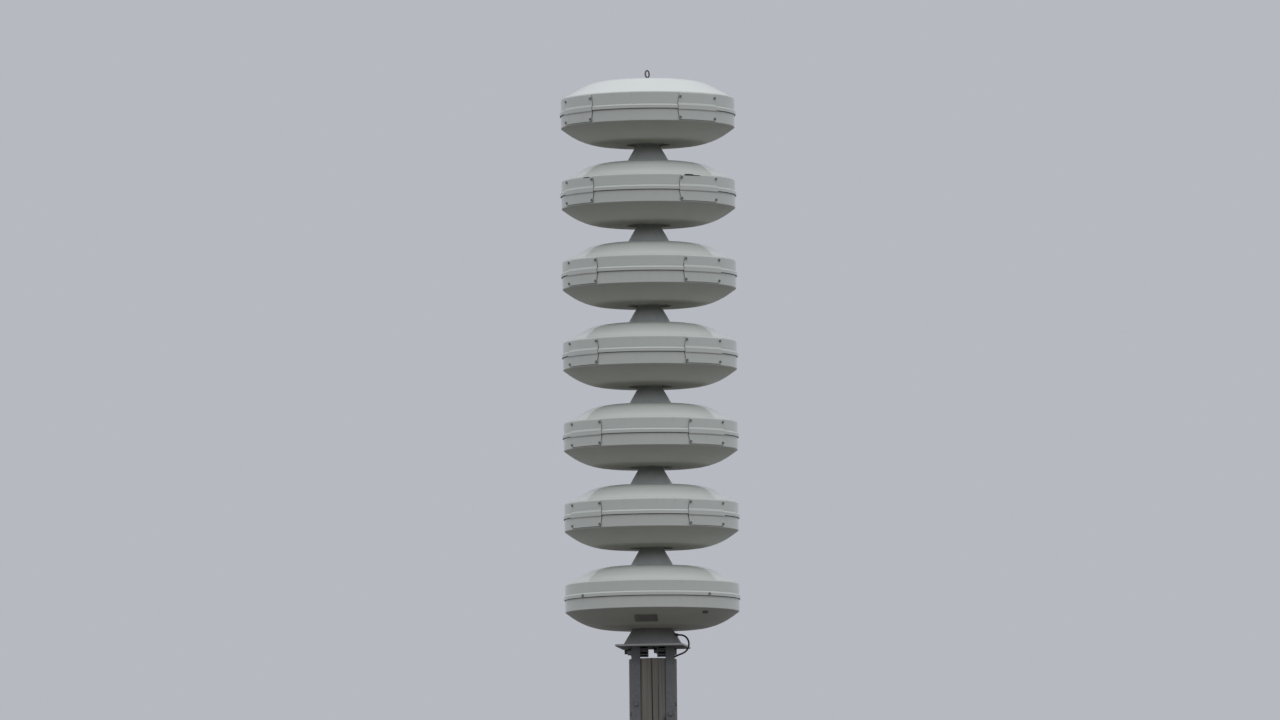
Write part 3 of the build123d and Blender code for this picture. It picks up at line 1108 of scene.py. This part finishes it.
def drying_checks(rng):
    """Long narrow cracks in the log, each at its own angle and height."""
    checks = []
    for _ in range(check_count):
        start = rng.uniform(0.2, 6.6)
        checks.append({
            "angle": rng.uniform(0, 2 * math.pi),
            "start": start,
            "end": min(start + rng.uniform(0.6, 2.2), pole_top - 0.005),
            "depth": rng.uniform(0.006, 0.014),
            "half": rng.uniform(0.0012, 0.0026),
            "drift": rng.uniform(-0.035, 0.035),
        })
    return checks


def surface_columns(checks):
    """The log's columns of points: plain ones, and in place of those near a check three that follow it."""
    columns = []
    for index in range(pole_columns):
        angle = 2 * math.pi * index / pole_columns
        apart = [abs((angle - check["angle"] + math.pi) % (2 * math.pi) - math.pi) for check in checks]
        if min(apart) > check_margin:
            columns.append((angle, None, 0))
    columns += [(check["angle"], check, side) for check in checks for side in (-1, 0, 1)]
    return sorted(columns, key=lambda column: column[0] + column[2] * check_order)


def surface_point(level, column, waves):
    angle, check, side = column
    radius = pole_radius_at(level)
    own = radius
    turn = angle
    for count, rate, phase, size in waves:
        own += size * math.sin(count * angle + rate * level + phase) / 2
    if check:
        along_check = (level - check["start"]) / (check["end"] - check["start"])
        open_share = max(0, math.sin(math.pi * min(max(along_check, 0), 1))) ** 0.5
        turn += check["drift"] * (along_check - 0.5)
        turn += side * (check_lip + check["half"] * open_share) / radius
        if side == 0:
            own -= check["depth"] * open_share
    return own * math.sin(turn), -own * math.cos(turn), level


def make_pole():
    """A log with a slightly uneven surface, long drying checks cut into it and a chamfered top."""
    rng = random.Random(11)
    checks = drying_checks(rng)
    waves = [
        (rng.randint(2, 7), rng.uniform(0.6, 3.0), rng.uniform(0, 6.28), rng.uniform(0.0002, 0.0006))
        for _ in range(wave_count)
    ]
    columns = surface_columns(checks)
    around = len(columns)
    vertices = []
    for row in range(pole_rows + 1):
        level = (pole_top - pole_chamfer) * row / pole_rows
        vertices += [surface_point(level, column, waves) for column in columns]
    shrink = 1 - pole_chamfer / pole_top_radius
    vertices += [(x * shrink, y * shrink, pole_top) for x, y, _ in vertices[-around:]]
    faces = []
    for row in range(pole_rows + 1):
        low = row * around
        high = low + around
        for column in range(around):
            following = (column + 1) % around
            faces.append([low + column, low + following, high + following, high + column])
    top_ring = list(range(high, high + around))
    faces.append(top_ring)
    faces.append(list(range(around)))
    pole = add_piece("log", (vertices, faces), pole_wood, Matrix(), ["pole"], sharp=50)
    pole.data.materials.append(pole_end)
    for polygon in pole.data.polygons:
        if polygon.vertices[0] in top_ring and len(polygon.vertices) > 4:
            polygon.material_index = 1


make_pole()


# Small things on the cells
def make_lifting_eye():
    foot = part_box("cell_1_upper_shell")[1][2]
    collar = [
        (0, 0, 0), (0.013, 0, 0), (0.013, 0.0045, 0.0015), (0.0085, 0.0085, 0.003), (0.0062, 0.016, 0.006),
        (0.0052, eye_centre - eye_ring, 0), (0, eye_centre - eye_ring, 0),
    ]
    shape = joined([
        (lathe(rounded(collar, step=15), 32), Matrix()),
        (ring_of_wire(eye_ring, eye_wire, 48, 20), moved(0, 0, eye_centre)),
    ])
    place = moved(0, 0, foot) @ turned(eye_turn)
    add_piece("eye_bolt", shape, eye_steel, place, ["lifting_eye"])


def bowl_surface(radius):
    """Height from the seam and slope in radians of a bowl's outer side, on its straight slope or its bend."""
    lean = math.radians(bowl_slope)
    _, knuckle = end_corners(0, -band_bottom, -bowl_bottom, bowl_slope, -1)
    run = (radius - knuckle[0]) / bowl_bend + math.tan(lean / 2)
    if run > math.sin(lean):
        return band_bottom - (band_radius - radius) * math.tan(lean), lean
    slope = math.asin(run)
    return bowl_bottom + bowl_bend * (1 - math.cos(slope)), slope


def bowl_place(inset, angle):
    """A placement on the lowest bowl, with +Z pointing out of it and +Y up its slope."""
    radius = band_radius - inset
    height, slope = bowl_surface(radius)
    return outward(angle, radius, base_seam + height) @ Matrix.Rotation(math.pi / 2 - slope, 4, "X")


def rounded_block(width, length, thickness, bend):
    return prism(rectangle(width, length, bend, 22), seat, seat + thickness)


def make_blank_plate():
    face = seat + blank_plate_size[2]
    rivets = [(disc(*rivet_size, 16), moved(x, y, face)) for x, y in rivet_places]
    shape = joined([(rounded_block(*blank_plate_size), Matrix())] + rivets)
    place = bowl_place(blank_plate_inset, blank_plate_angle)
    add_piece("bare_plate", shape, blank_paint, place, ["base_cell_blank_plate"], bevel=0.0004)


def make_tab():
    screw = (hex_head(*tab_screw_size), moved(0, 0, seat + tab_size[2]))
    shape = joined([(rounded_block(*tab_size), Matrix()), screw])
    place = bowl_place(tab_inset, tab_angle)
    add_piece("drain_tab", shape, tab_steel, place, ["base_cell_tab"], bevel=0.0006)


make_lifting_eye()
make_blank_plate()
make_tab()


# Floor and light
def make_floor():
    """A wide floor that looks pale, lights the tower as dark ground does, and is clear from below."""
    floor = Finish("floor")
    matte = floor.node("ShaderNodeBsdfDiffuse")
    floor.put(matte.inputs["Color"], floor.mix(floor.plain_rays(), floor_unseen, floor_seen))
    clear = floor.node("ShaderNodeBsdfTransparent")
    under = floor.node("ShaderNodeNewGeometry").outputs["Backfacing"]
    blend = floor.fill(floor.node("ShaderNodeMixShader"), (under, matte.outputs[0], clear.outputs[0]))
    floor.put(floor.tree.nodes["Material Output"].inputs["Surface"], blend)
    mesh = bpy.data.meshes.new("floor")
    angles = [2 * math.pi * index / floor_sides for index in range(floor_sides)]
    corners = [(floor_radius * math.cos(angle), floor_radius * math.sin(angle), 0) for angle in angles]
    mesh.from_pydata(corners, [], [list(range(floor_sides))])
    mesh.materials.append(floor.material)
    piece = bpy.data.objects.new("floor", mesh)
    bpy.context.scene.collection.objects.link(piece)


def make_sky():
    """An overcast sky that is brightest overhead, and a dark ground."""
    world = bpy.data.worlds.new("sky")
    bpy.context.scene.world = world
    world.use_nodes = True
    sky = Nodes(world.node_tree)
    x, _, z = sky.axes(sky.node("ShaderNodeTexCoord").outputs["Generated"])
    level = sky.node("ShaderNodeMix")
    sky.put(level.inputs[0], sky.math("GREATER_THAN", z, horizon_height))
    sky.put(level.inputs[2], ground_light)
    sky.put(level.inputs[3], sky.ramp(z, 0, 1, zenith_light * horizon_share, zenith_light, "LINEAR"))
    sideways = sky.math("MULTIPLY_ADD", x, sideways_light, 1)
    light = sky.tree.nodes["Background"]
    sky.put(light.inputs["Color"], (*sky_tint, 1))
    sky.put(light.inputs["Strength"], sky.math("MULTIPLY", level.outputs[0], sideways))
    seen = sky.node("ShaderNodeBackground")
    sky.put(seen.inputs["Color"], (*background, 1))
    choice = sky.fill(sky.node("ShaderNodeMixShader"), (sky.plain_rays(), light.outputs[0], seen.outputs[0]))
    sky.put(sky.tree.nodes["World Output"].inputs["Surface"], choice)


make_floor()
make_sky()
bpy.context.scene.view_settings.view_transform = "Standard"
